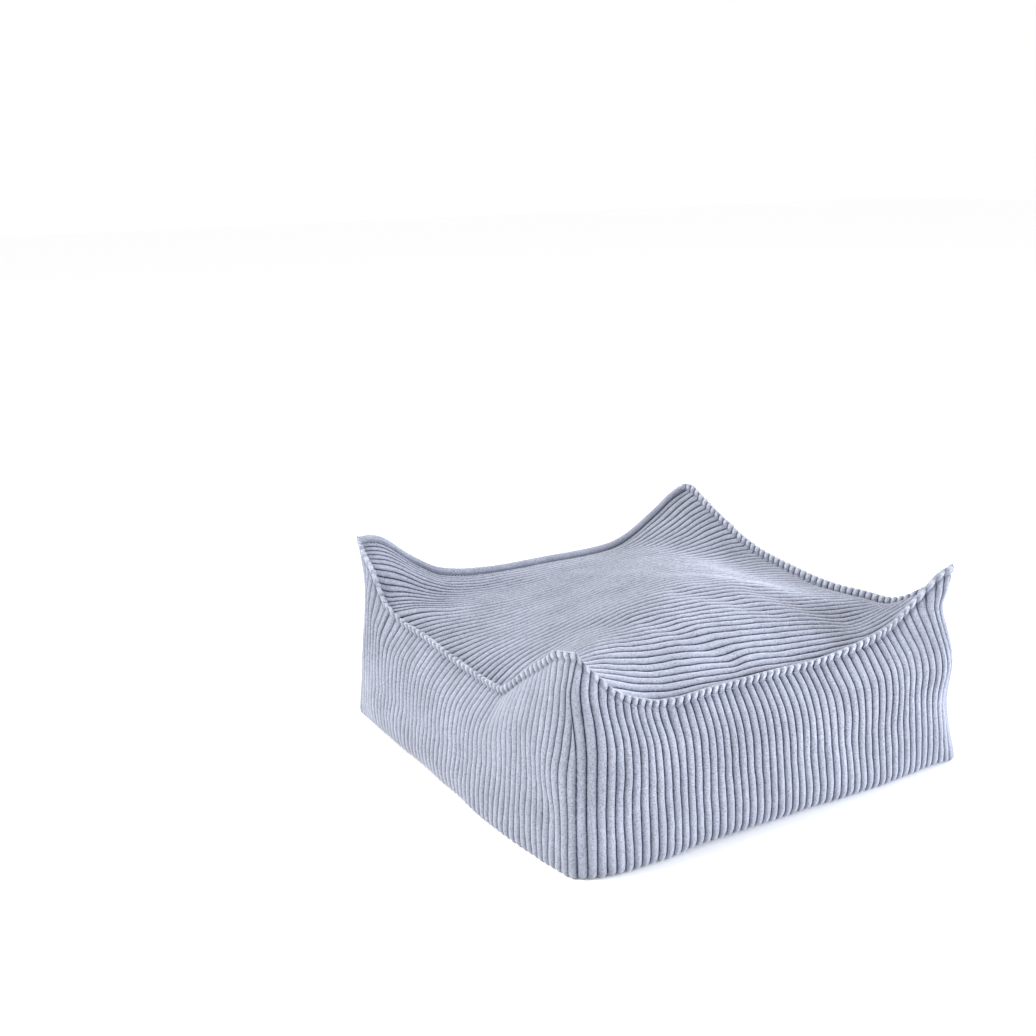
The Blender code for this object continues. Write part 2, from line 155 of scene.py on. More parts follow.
SIDE_CREASES = (  # side, from along, from rise, to along, to rise, width, depth
    ("front", 0.05, 0.92, 0.22, 0.94, 0.030, 0.010),
    ("front", 0.60, 0.80, 0.72, 0.30, 0.030, 0.003),
    ("front", 0.88, 0.60, 0.99, 0.35, 0.030, 0.006),
    ("right", 0.30, 0.85, 0.42, 0.35, 0.030, 0.004),
    ("right", 0.70, 0.75, 0.62, 0.20, 0.035, 0.004),
    ("back", 0.35, 0.80, 0.45, 0.30, 0.035, 0.004),
    ("back", 0.72, 0.85, 0.68, 0.40, 0.030, 0.003),
    ("left", 0.80, 0.60, 0.93, 0.30, 0.030, 0.004),
    ("left", 0.25, 0.70, 0.35, 0.30, 0.040, 0.003),
)
TOP_CREASES = (  # from across, from deep, to across, to deep, width, depth
    (0.36, 0.27, 0.47, 0.09, 0.035, 0.006),
    (0.53, 0.36, 0.70, 0.19, 0.035, 0.006),
    (0.74, 0.30, 0.87, 0.12, 0.050, 0.008),
    (0.20, 0.45, 0.30, 0.30, 0.040, 0.004),
    (0.62, 0.55, 0.78, 0.42, 0.040, 0.004),
)
CREASE_EDGE = 0.05  # how near its seams the top's creases die away
TOP_ACROSS = (0.00, 0.08, 0.18, 0.36, 0.54, 0.72, 0.88, 1.00)
TOP_SECTIONS = (  # deep, the heights at those places across
    (0.00, (0.262, 0.270, 0.276, 0.281, 0.281, 0.286, 0.297, 0.310)),
    (0.08, (0.262, 0.300, 0.318, 0.315, 0.312, 0.312, 0.312, 0.325)),
    (0.20, (0.258, 0.312, 0.350, 0.364, 0.360, 0.350, 0.340, 0.335)),
    (0.38, (0.250, 0.300, 0.338, 0.378, 0.389, 0.380, 0.344, 0.338)),
    (0.60, (0.243, 0.279, 0.308, 0.347, 0.370, 0.368, 0.342, 0.345)),
    (0.82, (0.246, 0.272, 0.292, 0.320, 0.338, 0.345, 0.342, 0.350)),
    (1.00, (0.255, 0.282, 0.300, 0.318, 0.316, 0.318, 0.325, 0.335)),
)
EAR_SPREAD = 0.42  # how far in from a seam its own height is still felt
EAR_POWER = 3.0  # how fast that dies away

# Corduroy: lengths in metres
WALE_DEPTH = 0.0034  # from the crest of a wale down to its valley
WALE_ROUND = 0.975  # nearer 1 makes the valleys sharper
WALE_PHASES = (0.0, 0.055, 0.15, 0.31, 0.5, 0.69, 0.85, 0.945)  # columns of points across a wale
LEAST_WIDTH = 0.1  # share of its width that a wale keeps where it is squeezed to nothing
# Each side's share of the wales' depth and of the painted shade in their valleys; the left side has less
# painted shade, as it is lit more frontally
RELIEF_AND_SHADE_SHARES = {"front": 1.0, "right": 1.0, "back": 1.0, "left": 0.85}
SWAY_SHARES = {"front": 0.45, "right": 0.8, "back": 0.8, "left": 0.8, "top": 0.8}
WALE_SWAY = (  # how far the wales wander sideways, in wales, and over how many wales and metres they do it
    (0.22, 5.0, 0.055),
    (0.09, 1.3, 0.014),
)
CLOTH_SWELL = (  # how far the cloth stands in and out, in metres, and over how many wales and metres
    (0.0012, 5.0, 0.045),
    (0.0003, 1.0, 0.009),
)
SWAY_HOLD = 1.5  # how near a panel's edges, in wales, its wales run straight
LEAN_HOLD = 0.7  # how near a corner, in wales, the cloth faces straight out of it
CREST_PILE = 0.84  # how much of the pile's colour range a crest reaches
EDGE_PALING = 0.16  # how much more of it the folded edge of the flange reaches, where it is paler
EDGE_PALING_RISE = 0.0040  # how far up the flange the paling is full
LONG_EDGE_SHADE = -0.3  # the share of that paling on an edge that runs along a wale; below 0, that edge is darker instead, as painted shade
TOP_VALLEY_SHADE = 1.35  # painted shade: how much further up a wale the dark of its valleys reaches on the top panel
TOP_NARROW = 2.5  # how many times narrower a wale may be on top before the painted shade of its valley turns paler
LONG_EDGE = (0.08, 0.92)  # the part of one wale that bends over the edge where the edge runs along it
KNOB_POWER = 1.2  # how much rounder the ends of the wales are on the folded edge of the flange
STITCH_BITE = 0.0011  # how far the stitching draws the cloth in
BITE_REACH = 0.0021  # how far from the stitch line that is felt
TOP_BITE = 0.5  # the share of the bite that the top panel shows
INNER_BITE = 0.4  # the share of the bite by which the inner stitches clear the flange's thickness
PINCHED_RELIEF = 0.3  # the share of a valley's depth that the stitching takes away
PINCHED_SWELL = 0.5  # and of the cloth's swell
PINCHED_SHADE = 0.25  # painted shade: how much darker the colour is along the stitch line
STITCH_PITCH = 0.0042
STITCH_LENGTH = 0.0031
STITCH_BENDS = 5  # rings of points along a stitch
THREAD_POINTS = 7  # points of each ring
THREAD_RADIUS = 0.00035
THREAD_SUNK = 1.2  # how deep the ends of a stitch lie, in radii
THREAD_ARCH = 2.2  # how high its middle stands over them, in radii
THREAD_TIP = 0.25  # how thick its ends are, in radii
SEAM_STEPS = 2001  # steps in which a seam is measured for its stitches
CORNER_GROOVE = 0.0020  # depth of the seam up a corner
GROOVE_REACH = 0.0016  # half of its width
GROOVE_SHADE = 0.4  # painted shade: how much darker the colour is in it
EDGE_REACH = 0.0010  # how close to a seam the relief ends, so that both panels meet in it
FLANGE_CURL = 0.0029  # radius of each layer's folded edge
CURL_ANGLES = (14, 28, 42, 56, 70, 84, 98, 112, 130)  # degrees round the folded edge
STITCH_CLEARANCES = (0.0090, 0.0070, 0.0052, 0.0038, 0.0027, 0.0018, 0.0010, 0.0004, 0.0)  # rows by a seam
FLANGE_LIFTS = (0.0005, 0.0012, 0.0020, 0.0030, 0.0040, 0.0050)  # rows up the flange
BACK_DROP = 0.12  # the share by which the back panel's edge stands lower than the top panel's beside it
BACK_HOLD = 2.0  # how near the corners, in wales, it does not
HEM_TURN = 0.0050  # radius at which a side turns under to the base
HEM_HEIGHTS = (0.0, 0.0003, 0.0009, 0.0018, 0.0030, 0.0048)
SIDE_ROWS = 44
TOP_COLUMNS = 120
BASE_COLUMNS = 40
FORM_COLUMNS = 101  # points of each side in which the form's box is measured
FORM_ROWS = 41
BASE_RELIEF = 0.0012  # how high the valleys and the rim of the base stand over the floor
BASE_RIM = 0.002
GRAIN_SIZE = 128  # random values each way, after which they repeat
PANEL_SEEDS = {"front": 7, "right": 107, "back": 207, "left": 307, "top": 907}
SWELL_SEED = 50  # added to a panel's seed for its swell
UV_MARGIN = 0.002
BAND_MARGIN = 0.1  # in rows of points, at both sides of a grid's band of the UV square

PILE_SHADE_STOPS = (  # share of the pile shade value, colour; the low shares paint shade into the valleys, nearly black
    (0.00, (0.020, 0.026, 0.052, 1.0)),
    (0.16, (0.040, 0.050, 0.088, 1.0)),
    (0.32, (0.168, 0.182, 0.245, 1.0)),
    (0.55, (0.296, 0.314, 0.382, 1.0)),
    (0.84, (0.344, 0.364, 0.440, 1.0)),
    (1.00, (0.500, 0.522, 0.600, 1.0)),
)
THREAD_STOPS = (
    (0.0, (0.24, 0.255, 0.33, 1.0)),
    (1.0, (0.35, 0.370, 0.45, 1.0)),
)
RAGGED = 0.44  # how far the tufts break up the edge of a valley's painted shade, as a share of the pile shade value

OUTWARD = {
    "front": np.array((0.0, -1.0, 0.0)),
    "right": np.array((1.0, 0.0, 0.0)),
    "back": np.array((0.0, 1.0, 0.0)),
    "left": np.array((-1.0, 0.0, 0.0)),
}
UP = np.array((0.0, 0.0, 1.0))
LEAST_LENGTH = 1e-12  # guards a division where a grid has shrunk to a point


def smooth(knots, values, at):
    """A smooth curve through values at the knots, read at many places, which may each have their own."""
    knots = np.asarray(knots, float)
    values = np.asarray(values, float)
    if values.ndim == 1:
        values = values.reshape((-1,) + (1,) * np.ndim(at))
    at = np.clip(at, knots[0], knots[-1])
    values = np.broadcast_to(values, (len(knots),) + np.shape(at))
    order = np.arange(len(knots))
    low = np.maximum(order - 1, 0)
    high = np.minimum(order + 1, len(knots) - 1)
    spans = (knots[high] - knots[low]).reshape((-1,) + (1,) * np.ndim(at))
    slopes = (values[high] - values[low]) / spans
    i = np.clip(np.searchsorted(knots, at) - 1, 0, len(knots) - 2)
    gap = knots[i + 1] - knots[i]

    def pick(table, k):
        return np.take_along_axis(table, k[None], 0)[0]

    start = pick(values, i)
    rise = pick(values, i + 1) - start
    before = pick(slopes, i) * gap
    after = pick(slopes, i + 1) * gap
    t = (at - knots[i]) / gap
    return start + t * (before + t * ((before + after - 2 * rise) * t + 3 * rise - 2 * before - after))


def read(table, names, key, name, at):
    """One named column of a table, read as a smooth curve over its key column."""
    keys = [row[names.index(key)] for row in table]
    values = [row[names.index(name)] for row in table]
    return smooth(keys, values, at)


def read_side(side, name, along):
    return read(SIDES[side], SIDE_COLUMNS, "along", name, along)


def next_side(side):
    return SIDE_ORDER[(SIDE_ORDER.index(side) + 1) % 4]


def near(distance, reach):
    """1 at no distance, falling away over the reach."""
    return np.exp(-((distance / reach) ** 2))


def line_distance(x, y, start, end):
    """How far places are from a straight line between two points."""
    dx = end[0] - start[0]
    dy = end[1] - start[1]
    t = np.clip(((x - start[0]) * dx + (y - start[1]) * dy) / (dx * dx + dy * dy), 0.0, 1.0)
    return np.hypot(x - start[0] - t * dx, y - start[1] - t * dy)


def corner_shares(along):
    return (1.0 - along) ** CORNER_HOLD, along**CORNER_HOLD


def turns_left(start_radius, end_radius, length, along):
    """The way between the corners of a side, and the turn left at each end to the middle of its corner."""
    total = length - (start_radius + end_radius) * (1.0 - QUARTER)
    start_turn = np.maximum(QUARTER - along * total / start_radius, 0.0)
    end_turn = np.maximum(QUARTER - (1.0 - along) * total / end_radius, 0.0)
    return total, start_turn, end_turn


def outward_at(side, along):
    """The level direction out of the bag at the seam, which turns round the corners."""
    radii = CORNER_RADII[side][-1], CORNER_RADII[next_side(side)][-1]
    _, start_turn, end_turn = turns_left(*radii, 1.0, along)
    turn = end_turn - start_turn
    forward = np.cross(UP, OUTWARD[side])
    return OUTWARD[side] * np.cos(turn)[..., None] + forward * np.sin(turn)[..., None]


def side_point(side, along, rise):
    """Points of a side panel at the level of its crests, in metres about the nominal middle."""
    height = rise * read_side(side, "seam_height", along)
    start_reach = smooth(CORNER_HEIGHTS, CORNER_REACH[side], height)
    end_reach = smooth(CORNER_HEIGHTS, CORNER_REACH[next_side(side)], height)
    start_share, end_share = corner_shares(along)
    out = start_reach * start_share + end_reach * end_share
    out = out + read_side(side, "foot", along) * read(PROFILE, PROFILE_COLUMNS, "rise", "foot", rise)
    out = out + read_side(side, "belly", along) * read(PROFILE, PROFILE_COLUMNS, "rise", "belly", rise)
    out = out - read_side(side, "inset", along) * read(PROFILE, PROFILE_COLUMNS, "rise", "tuck", rise)
    for crease_side, from_along, from_rise, to_along, to_rise, width, depth in SIDE_CREASES:
        if crease_side == side:
            ends = ((from_along, from_rise * CREASE_RISE), (to_along, to_rise * CREASE_RISE))
            out = out - depth * near(line_distance(along, rise * CREASE_RISE, *ends), width)
    start_radius = smooth(CORNER_HEIGHTS, CORNER_RADII[side], height)
    end_radius = smooth(CORNER_HEIGHTS, CORNER_RADII[next_side(side)], height)
    length = 1.0 + start_reach + end_reach
    total, _, _ = turns_left(start_radius, end_radius, length, along)
    start_wander = smooth(CORNER_HEIGHTS, CORNER_WANDER[side], height) * (1.0 - along) ** WANDER_HOLD
    end_wander = smooth(CORNER_HEIGHTS, CORNER_WANDER[next_side(side)], height) * along**WANDER_HOLD
    moved = along + (start_wander + end_wander) / total
    _, start_turn, end_turn = turns_left(start_radius, end_radius, length, moved)
    place = -0.5 - start_reach + start_radius * (1.0 - QUARTER) + moved * total
    place = place + start_radius * (start_turn - np.sin(start_turn))
    place = place - end_radius * (end_turn - np.sin(end_turn))
    inward = start_radius * (1.0 - np.cos(start_turn)) + end_radius * (1.0 - np.cos(end_turn))
    forward = np.cross(UP, OUTWARD[side])
    level = forward * place[..., None] + OUTWARD[side] * (0.5 + out - inward)[..., None]
    return (level + UP * height[..., None]) * SIDE


def spread(table, wale):
    """The fraction along a seam where a wale meets it, for a wale counted as a fraction of the panel's."""
    return np.interp(wale, *np.transpose(table))


def cut_off(fraction, wale):
    """The place of a wale, kept on its panel where a seam cuts it off."""
    return np.clip(fraction, CUT_GAP * wale * WALES, 1.0 - CUT_GAP * (1.0 - wale) * WALES)


def wale_along(side, wale, rise):
    """The fraction along the side of a wale, even at the floor and spread to its place on the seam."""
    t = np.clip((rise - SPACING_START) / (SPACING_END - SPACING_START), 0.0, 1.0)
    along = wale + (spread(SEAM_WALES[side], wale) - wale) * t * t * (3.0 - 2.0 * t)
    return cut_off(along, wale)


def sheltered(distance):
    return np.maximum(1.0 - distance / EAR_SPREAD, 0.0) ** EAR_POWER


def bare_top(across, deep):
    heights = np.stack([smooth(TOP_ACROSS, row[1], across) for row in TOP_SECTIONS])
    return smooth([row[0] for row in TOP_SECTIONS], heights, deep)


def seam_point(side, along):
    """The stitch line on the top panel's side of the flange."""
    return side_point(side, along, np.ones_like(along)) - outward_at(side, along) * FLANGE_PINCH


def top_point(across, deep):
    """Points of the top panel, blended in from its four seams."""
    zero = np.zeros_like(across)
    one = np.ones_like(across)
    seams = (
        (seam_point("front", across), 1.0 - deep, sheltered(deep), bare_top(across, zero)),
        (seam_point("back", 1.0 - across), deep, sheltered(1.0 - deep), bare_top(across, one)),
        (seam_point("left", 1.0 - deep), 1.0 - across, sheltered(across), bare_top(zero, deep)),
        (seam_point("right", deep), across, sheltered(1.0 - across), bare_top(one, deep)),
    )
    corners = (
        (seam_point("front", zero), 0, 2, bare_top(zero, zero)),
        (seam_point("front", one), 0, 3, bare_top(one, zero)),
        (seam_point("back", one), 1, 2, bare_top(zero, one)),
        (seam_point("back", zero), 1, 3, bare_top(one, one)),
    )
    point = np.zeros(across.shape + (3,))
    height = bare_top(across, deep)
    edge_gap = np.minimum(np.minimum(across, 1.0 - across), np.minimum(deep, 1.0 - deep))
    inside = 1.0 - near(edge_gap, CREASE_EDGE)
    for from_across, from_deep, to_across, to_deep, width, depth in TOP_CREASES:
        away = line_distance(across, deep, (from_across, from_deep), (to_across, to_deep))
        height = height - depth * near(away, width) * inside
    height = height * SIDE
    for seam, share, shelter, bare in seams:
        point += seam * share[..., None]
        height = height + (seam[..., 2] - bare * SIDE) * shelter
    for corner, first, second, bare in corners:
        point -= corner * (seams[first][1] * seams[second][1])[..., None]
        height = height - (corner[..., 2] - bare * SIDE) * (seams[first][2] * seams[second][2])
    point[..., 2] = height
    return point


def top_deep(across, wale):
    """How far back a wale of the top panel lies, which meets its left and right seams as they space it."""
    left = spread(TOP_WALES["left"], wale) - wale
    right = spread(TOP_WALES["right"], wale) - wale
    deep = wale + left * (1.0 - across) ** TOP_SPACING_POWER + right * across**TOP_SPACING_POWER
    return cut_off(deep, wale)


class Grain:
    """Smooth random values over a plane, the same on every run."""

    def __init__(self, seed):
        self.table = np.random.default_rng(seed).uniform(-1.0, 1.0, (GRAIN_SIZE, GRAIN_SIZE))

    def __call__(self, x, y):
        i = np.floor(x).astype(int)
        j = np.floor(y).astype(int)
        s = x - i
        t = y - j
        s = s * s * (3 - 2 * s)
        t = t * t * (3 - 2 * t)
        at = self.table
        n = GRAIN_SIZE
        low = at[i % n, j % n] * (1 - s) + at[(i + 1) % n, j % n] * s
        high = at[i % n, (j + 1) % n] * (1 - s) + at[(i + 1) % n, (j + 1) % n] * s
        return low * (1 - t) + high * t


def layered(rows, seed, wales, way):
    """The sum of a table's random layers, over places in wales across and metres along."""
    total = np.zeros(np.broadcast(wales, way).shape)
    for size, across_reach, along_reach in rows:
        seed += 1
        total = total + size * Grain(seed)(wales / across_reach, way / along_reach)
    return total


def wale_lines(count):
    """The places of a panel's columns across its wales, in wales, valleys and crests included."""
    lines = [wale + phase for wale in range(count) for phase in WALE_PHASES]
    return np.array(lines + [count])


def wale_height(wales):
    """0 in a valley and 1 on a crest, for places counted in wales."""
    q = np.abs(wales - np.floor(wales) - 0.5) * 2.0
    floor = np.sqrt(1.0 - WALE_ROUND**2)
    return (np.sqrt(1.0 - (WALE_ROUND * q) ** 2) - floor) / (1.0 - floor)


def normals(points):
    """Unit normals of a grid of points, out of the bag."""
    out = np.cross(np.gradient(points, axis=1), np.gradient(points, axis=0))
    return out / np.maximum(np.linalg.norm(out, axis=-1, keepdims=True), LEAST_LENGTH)


def flange_place(side, along, lift, inward):
    """A point by the flange, lifted along it from the stitch line and moved in from its outer face."""
    outward = outward_at(side, along)
    rise = UP + outward * FLANGE_LEAN
    rise = rise / np.linalg.norm(rise, axis=-1, keepdims=True)
    stitch = side_point(side, along, np.ones_like(along))
    return stitch + rise * lift[..., None] - outward * inward[..., None]


def flange_path():
    """Rows up one face of the flange and over its edge: lift, distance in and the angle of the face."""
    straight = [(lift, 0.0, 0.0) for lift in FLANGE_LIFTS]
    turns = np.radians(CURL_ANGLES)
    base = FLANGE_RISE - FLANGE_CURL
    curl = [(base + FLANGE_CURL * np.sin(a), FLANGE_CURL * (1 - np.cos(a)), a) for a in turns]
    return np.array(straight + curl)


def swayed(panel, wales, way, edge_gap):
    """The places of wale lines once they wander, held at the panel's edges."""
    held = 1.0 - near(edge_gap, SWAY_HOLD)
    return wales + layered(WALE_SWAY, PANEL_SEEDS[panel], wales, way) * held * SWAY_SHARES[panel]


def swell_of(panel, wales, way):
    """How far the cloth of a panel stands in or out at places counted in wales and in metres along them."""
    return layered(CLOTH_SWELL, PANEL_SEEDS[panel] + SWELL_SEED, wales, way)


def squeeze(places, wales, axis):
    """How wide each wale is beside an even one, where its lines lie at these fractions of the side."""
    width = np.gradient(places, axis=axis) / np.gradient(wales / WALES, axis=axis)
    return np.clip(width, LEAST_WIDTH, 1.0)


def side_rows(tall):
    """The rows of a side panel as fractions of the way up it, close together at its hem and its seam."""
    low = HEM_HEIGHTS[-1]
    share = np.linspace(0.0, 1.0, SIDE_ROWS)[1:, None]
    hem = np.array(HEM_HEIGHTS)[:, None] / tall
    body = low / tall + share * (1.0 - (STITCH_CLEARANCES[0] + low) / tall)
    collar = 1.0 - np.array(STITCH_CLEARANCES[1:])[:, None] / tall
    return np.vstack([hem, body, collar])


def side_grid(side):
    """The points of one side panel from the floor to the folded edge of its flange, and its pile shade value,
    which paints shade into its valleys, along its stitch line and in its corner grooves.
    """
    lines = wale_lines(WALES)
    seam_along = wale_along(side, lines / WALES, 1.0)
    tall = read_side(side, "seam_height", seam_along) * SIDE
    rise = side_rows(tall)
    wales = np.broadcast_to(lines, rise.shape)
    edge_gap = np.minimum(wales, WALES - wales)
    placed = swayed(side, wales, rise * tall, edge_gap)
    along = wale_along(side, np.clip(placed / WALES, 0.0, 1.0), rise)
    narrow = squeeze(along, wales, 1)
    height = rise * read_side(side, "seam_height", along) * SIDE
    base = side_point(side, along, rise)
    under = HEM_TURN - np.sqrt(HEM_TURN**2 - np.maximum(HEM_TURN - height, 0.0) ** 2)
    base = base - outward_at(side, along) * under[..., None]
    lean = normals(base)
    corner_hold = near(edge_gap, LEAN_HOLD)[..., None]
    lean = lean * (1 - corner_hold) + outward_at(side, along) * corner_hold
    lean = lean / np.linalg.norm(lean, axis=-1, keepdims=True)
    below = (1.0 - rise) * tall

    # The flange above the stitch line
    path = flange_path()
    shape = (len(path), len(lines))
    lift, inward, turn = (np.broadcast_to(column[:, None], shape) for column in path.T)
    if side == "back":
        lift = lift * (1.0 - BACK_DROP * (1.0 - near(edge_gap[0], BACK_HOLD)))
    fin_along = np.broadcast_to(along[-1], shape)
    fin = flange_place(side, fin_along, lift, inward)
    fin_lean = outward_at(side, fin_along) * np.cos(turn)[..., None] + UP * np.sin(turn)[..., None]

    # The relief of both, cut in from the level of the crests
    points = np.vstack([base, fin])
    lean = np.vstack([lean, fin_lean])
    stitch_gap = np.vstack([below, lift])
    wales = np.broadcast_to(lines, stitch_gap.shape)
    crest = wale_height(wales)
    crest[len(base):] **= KNOB_POWER
    pinch = near(stitch_gap, BITE_REACH)
    narrow = np.vstack([narrow, np.broadcast_to(narrow[-1], shape)])
    relief = WALE_DEPTH * RELIEF_AND_SHADE_SHARES[side] * (1.0 - PINCHED_RELIEF * pinch) * narrow
    corner_gap = np.minimum(wales, WALES - wales) * SIDE / WALES
    groove = near(corner_gap, GROOVE_REACH)
    way = np.vstack([height, tall + lift])
    swell = swell_of(side, wales, way) * (1.0 - groove) * (1.0 - PINCHED_SWELL * pinch)
    sink = relief * (1.0 - crest) * (1.0 - groove) + STITCH_BITE * pinch + CORNER_GROOVE * groove - swell
    points = points - lean * sink[..., None]
    points[..., 2] = np.maximum(points[..., 2], 0.0)
    # Painted shade: darker down into the valleys and along the stitch line, less where the wales are squeezed
    # and on the left side
    pile_shade = 1.0 - (1.0 - crest * (1.0 - PINCHED_SHADE * pinch)) * narrow * RELIEF_AND_SHADE_SHARES[side]
    edge_tone = np.vstack([np.zeros(base.shape[:2]), np.clip(lift / EDGE_PALING_RISE, 0.0, 1.0)])
    # Painted shade in the corner groove; the flange paler towards its folded edge
    return points, pile_shade * (1.0 - GROOVE_SHADE * groove) * (CREST_PILE + EDGE_PALING * edge_tone)


def top_grid():
    """The points of the top panel inside its stitch lines, and its pile shade value, which paints shade into
    its valleys and along its stitch lines.
    """
    lines = wale_lines(WALES)
    edge = np.array(STITCH_CLEARANCES[::-1]) / SIDE
    middle = np.linspace(edge[-1], 1.0 - edge[-1], TOP_COLUMNS)[1:-1]
    across = np.concatenate([edge, middle, 1.0 - edge[::-1]])
    u, wales = np.meshgrid(across, lines)
    edge_gap = np.minimum(wales, WALES - wales)
    placed = swayed("top", wales, u * SIDE, edge_gap)
    deep = top_deep(u, np.clip(placed / WALES, 0.0, 1.0))
    base = top_point(u, deep)
    lean = normals(base)
    crest = wale_height(wales)
    end_gap = np.minimum(u, 1.0 - u) * SIDE
    side_gap = edge_gap * SIDE / WALES
    end_pinch = near(end_gap, BITE_REACH)
    pinch = near(np.minimum(end_gap, side_gap), BITE_REACH)
    swell = swell_of("top", wales, u * SIDE) * (1.0 - pinch)
    narrow = squeeze(deep, wales, 0)
    sink = WALE_DEPTH * (1.0 - PINCHED_RELIEF * end_pinch) * (1.0 - crest) * narrow
    sink = sink + TOP_BITE * STITCH_BITE * pinch - swell
    sink = sink * (1.0 - near(np.minimum(end_gap, side_gap), EDGE_REACH))
    # Painted shade: the top's valleys reach further up its wales, paler where the wales are squeezed, and
    # darker along the stitch lines
    valley_shade = 1.0 - crest**TOP_VALLEY_SHADE * (1.0 - PINCHED_SHADE * pinch)
    pile_shade = 1.0 - valley_shade * np.minimum(TOP_NARROW * narrow, 1.0)
    return base - lean * sink[..., None], pile_shade * CREST_PILE


def flange_inside(side):
    """The inner face of the flange, which is the top panel's own seam allowance."""
    lines = wale_lines(WALES)
    fractions = lines / WALES
    if side == "left":
        along = 1.0 - cut_off(spread(TOP_WALES["left"], 1.0 - fractions), 1.0 - fractions)
    elif side == "right":
        along = cut_off(spread(TOP_WALES["right"], fractions), fractions)
    else:
        along = fractions
    path = np.vstack([(0.0, 0.0, 0.0), flange_path()])
    shape = (len(path), len(lines))
    lift, inward, turn = (np.broadcast_to(column[:, None], shape) for column in path.T)
    alongs = np.broadcast_to(along, shape)
    pinch = near(lift, BITE_REACH)
    points = flange_place(side, alongs, lift, FLANGE_KNOB - inward - (FLANGE_KNOB - FLANGE_PINCH) * pinch)
    lean = UP * np.sin(turn)[..., None] - outward_at(side, alongs) * np.cos(turn)[..., None]
    edge_tone = np.clip(lift / EDGE_PALING_RISE, 0.0, 1.0)
    if side in ("left", "right"):
        crest = np.broadcast_to(wale_height(lines) ** KNOB_POWER, shape)
    else:
        crest = wale_height(np.linspace(*LONG_EDGE, shape[0]))[:, None] * np.ones(shape)
        # Painted shade: an edge along a wale is darker at its fold instead of paler
        edge_tone = edge_tone * LONG_EDGE_SHADE
    corner_gap = np.minimum(lines, WALES - lines) * SIDE / WALES
    held = np.maximum(near(lift, EDGE_REACH), near(corner_gap, GROOVE_REACH))
    sink = WALE_DEPTH * (1.0 - PINCHED_RELIEF * pinch) * (1.0 - crest) * (1.0 - held)
    # Painted shade: darker into the knobs' valleys and along the stitch line; paler towards the fold
    pile_shade = crest * (1.0 - PINCHED_SHADE * pinch) * (CREST_PILE + EDGE_PALING * edge_tone)
    return points - lean * sink[..., None], pile_shade


def base_grid():
    """The points of the base panel, flat on the floor, and its pile shade value, which paints shade into its
    valleys.
    """
    lines = wale_lines(WALES)
    across = np.linspace(0.0, 1.0, BASE_COLUMNS)
    u, v = np.meshgrid(across, lines / WALES)
    zero = np.zeros_like(u)

    def hem(side, along):
        point = side_point(side, along, np.zeros_like(along)) - outward_at(side, along) * HEM_TURN
        return point * (1.0, 1.0, 0.0)

    point = hem("front", u) * (1.0 - v)[..., None] + hem("back", 1.0 - u) * v[..., None]
    point = point + hem("left", 1.0 - v) * (1.0 - u)[..., None] + hem("right", v) * u[..., None]
    corners = (
        ("front", zero, (1.0 - u) * (1.0 - v)),
        ("right", zero, u * (1.0 - v)),
        ("back", zero, u * v),
        ("left", zero, (1.0 - u) * v),
    )
    for side, along, share in corners:
        point = point - hem(side, along) * share[..., None]
    # Painted shade: the colour follows the crests, dark in the valleys
    crest = wale_height(np.broadcast_to(lines[:, None], u.shape))
    edge_gap = np.minimum(np.minimum(u, 1.0 - u), np.minimum(v, 1.0 - v)) * SIDE
    point[..., 2] = BASE_RELIEF * np.maximum(1.0 - crest, near(edge_gap, BASE_RIM))
    return point, crest


def stitch_grids():
    """Small curved tubes for the stitches that show along both faces of the flange."""
    grids = []
    bend = np.linspace(0.0, np.pi, STITCH_BENDS)
    ring = np.linspace(0.0, 2.0 * np.pi, THREAD_POINTS)
    pile_shade = np.ones((STITCH_BENDS, THREAD_POINTS))
    proud = THREAD_RADIUS * (THREAD_ARCH * np.sin(bend) - THREAD_SUNK)
    thin = THREAD_RADIUS * (THREAD_TIP + (1.0 - THREAD_TIP) * np.sin(bend))
    faces = ((1.0, STITCH_BITE), (-1.0, FLANGE_PINCH + INNER_BITE * STITCH_BITE))
    fine = np.linspace(0.0, 1.0, SEAM_STEPS)
    for side in SIDE_ORDER:
        seam = side_point(side, fine, np.ones_like(fine))
        way = np.concatenate([[0.0], np.cumsum(np.linalg.norm(np.diff(seam, axis=0), axis=-1))])
        starts = np.arange(STITCH_PITCH, way[-1] - STITCH_PITCH, STITCH_PITCH)
        for face, depth in faces:
            for start in starts:
                places = np.interp(start + STITCH_LENGTH * (0.5 - 0.5 * np.cos(bend)), way, fine)
                outward = outward_at(side, places)
                line = side_point(side, places, np.ones_like(places)) - outward * depth
                line = line + outward * (face * proud)[:, None]
                spoke = outward[:, None] * np.cos(ring)[None, :, None] + UP * np.sin(ring)[None, :, None]
                grids.append((line[:, None] + spoke * thin[:, None, None], pile_shade))
    return grids


